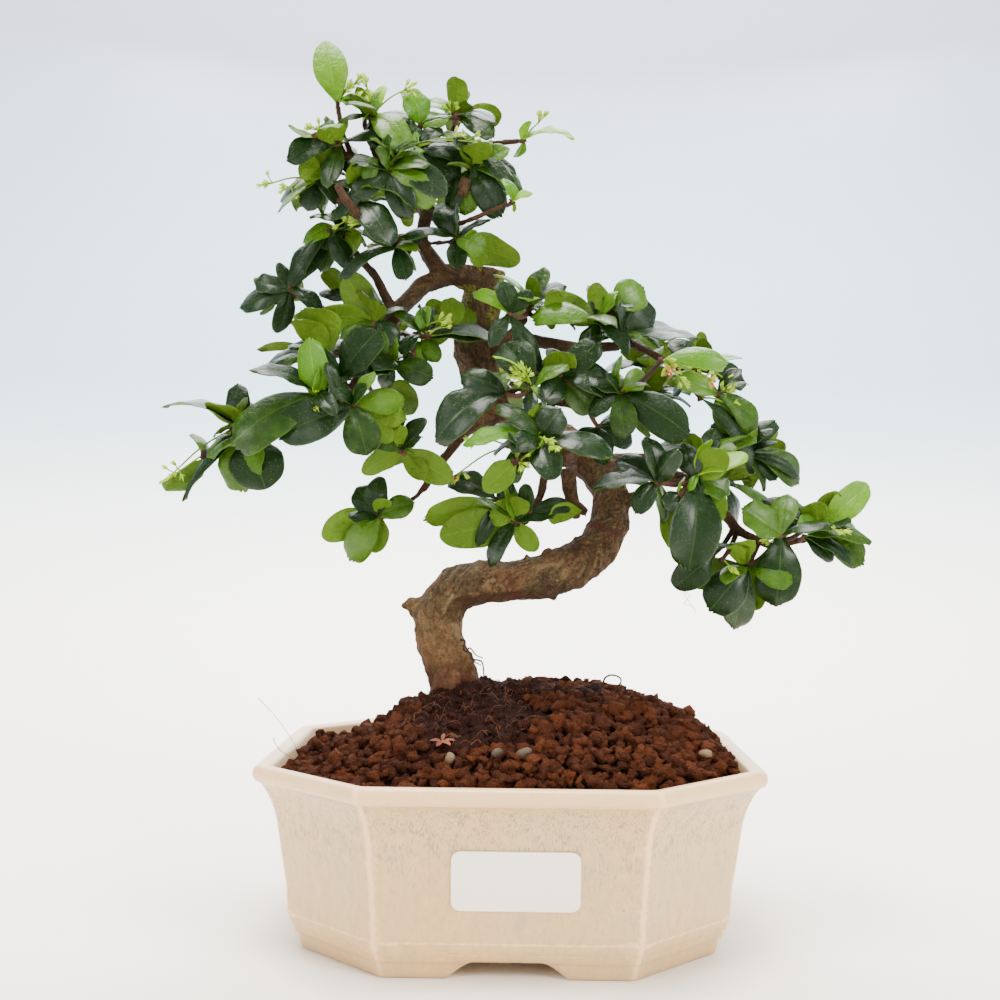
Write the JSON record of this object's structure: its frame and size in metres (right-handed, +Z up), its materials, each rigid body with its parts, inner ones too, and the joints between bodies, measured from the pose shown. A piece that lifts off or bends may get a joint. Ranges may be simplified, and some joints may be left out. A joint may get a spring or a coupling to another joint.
{
  "type": "potted bonsai tree",
  "caption": "Small-leaved evergreen bonsai with an S-curved trunk, spreading leafy branches and young shoots, growing from mounded soil in an octagonal glazed pot on cut feet.",
  "frame": {"origin": "middle of the part's bounding box, at the level that the pot stands on", "axes": "+Z up along the tree, -Y towards the side with the label"},
  "size_m": [0.2684, 0.18, 0.337],
  "materials": {
    "glaze": "cream glaze, semi-gloss",
    "soil": "fired clay grains",
    "bark": "rough bark",
    "leaf": "satin leaf",
    "young": "satin young leaf",
    "paper": "matt sticker",
    "mesh": "matt",
    "petal": "dry petal"
  },
  "bodies": {
    "root": {"drain_screen_left": "mesh", "drain_screen_right": "mesh", "fallen_flower": "petal", "label": "paper", "leaves_back_crown": "leaf", "leaves_back_left": "leaf", "leaves_back_low": "leaf", "leaves_back_right": "leaf", "leaves_cascade": "leaf", "leaves_cascade_end": "leaf", "leaves_centre_front": "leaf", "leaves_centre_left": "leaf", "leaves_centre_upper": "leaf", "leaves_crown_face": "leaf", "leaves_crown_fork": "leaf", "leaves_crown_high": "leaf", "leaves_crown_left": "leaf", "leaves_crown_left_tip": "leaf", "leaves_crown_low": "leaf", "leaves_crown_mid": "leaf", "leaves_crown_right": "leaf", "leaves_crown_side": "leaf", "leaves_crown_under": "leaf", "leaves_far_right": "leaf", "leaves_fork_top": "leaf", "leaves_left_bridge": "leaf", "leaves_left_end": "leaf", "leaves_left_front": "leaf", "leaves_left_low": "leaf", "leaves_left_top": "leaf", "leaves_left_upper": "leaf", "leaves_low_left": "leaf", "leaves_right_crest": "leaf", "leaves_right_face": "leaf", "leaves_right_hang": "leaf", "leaves_right_outer": "leaf", "leaves_under_centre": "leaf", "leaves_upper_knob": "leaf", "pot": "glaze", "shoot_cascade_end": "young", "shoot_centre": "young", "shoot_centre_left": "young", "shoot_centre_upper": "young", "shoot_crown_high": "young", "shoot_crown_left": "young", "shoot_crown_mid": "young", "shoot_far_right": "young", "shoot_fork_buds": "young", "shoot_left_buds": "young", "shoot_left_front": "young", "shoot_left_tip": "young", "shoot_olive_tip": "young", "shoot_right_hang": "young", "shoot_right_tip": "young", "shoot_top": "young", "shoot_upper_knob": "young", "soil": "soil", "trunk": "bark"}
  },
  "joints": []
}
